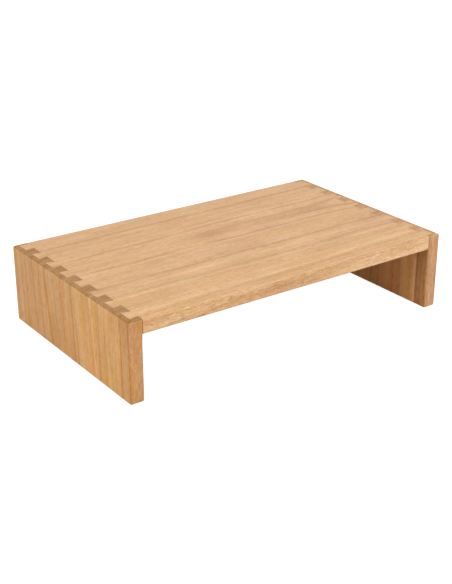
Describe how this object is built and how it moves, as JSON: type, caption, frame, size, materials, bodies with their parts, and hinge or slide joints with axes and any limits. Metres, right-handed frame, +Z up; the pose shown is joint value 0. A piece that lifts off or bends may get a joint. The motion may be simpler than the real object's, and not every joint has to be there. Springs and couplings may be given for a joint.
{
  "type": "monitor riser stand",
  "caption": "Low solid-wood desk riser: a flat top panel on two full-depth leg panels, joined by half-blind dovetails, open front and back.",
  "frame": {"origin": "on the floor, under the middle of the riser's outer box", "axes": "+X to the user's right along the width, +Y away from the user towards the back edge, +Z up"},
  "size_m": [0.5, 0.3, 0.108],
  "materials": {
    "top_panel_wood": "satin oiled, long grain left to right, edge-glued staves",
    "leg_panel_wood": "satin oiled, grain upright, end grain showing on the pins and lap at the top"
  },
  "bodies": {
    "root": {"top_stave_1": "top_panel_wood", "top_stave_2": "top_panel_wood", "top_stave_3": "top_panel_wood", "top_stave_4": "top_panel_wood", "left_leg_stave_1": "leg_panel_wood", "left_leg_stave_2": "leg_panel_wood", "left_leg_stave_3": "leg_panel_wood", "left_leg_stave_4": "leg_panel_wood", "left_leg_stave_5": "leg_panel_wood", "left_leg_stave_6": "leg_panel_wood", "left_leg_stave_7": "leg_panel_wood", "right_leg_stave_1": "leg_panel_wood", "right_leg_stave_2": "leg_panel_wood", "right_leg_stave_3": "leg_panel_wood", "right_leg_stave_4": "leg_panel_wood", "right_leg_stave_5": "leg_panel_wood", "right_leg_stave_6": "leg_panel_wood", "right_leg_stave_7": "leg_panel_wood"}
  },
  "joints": []
}
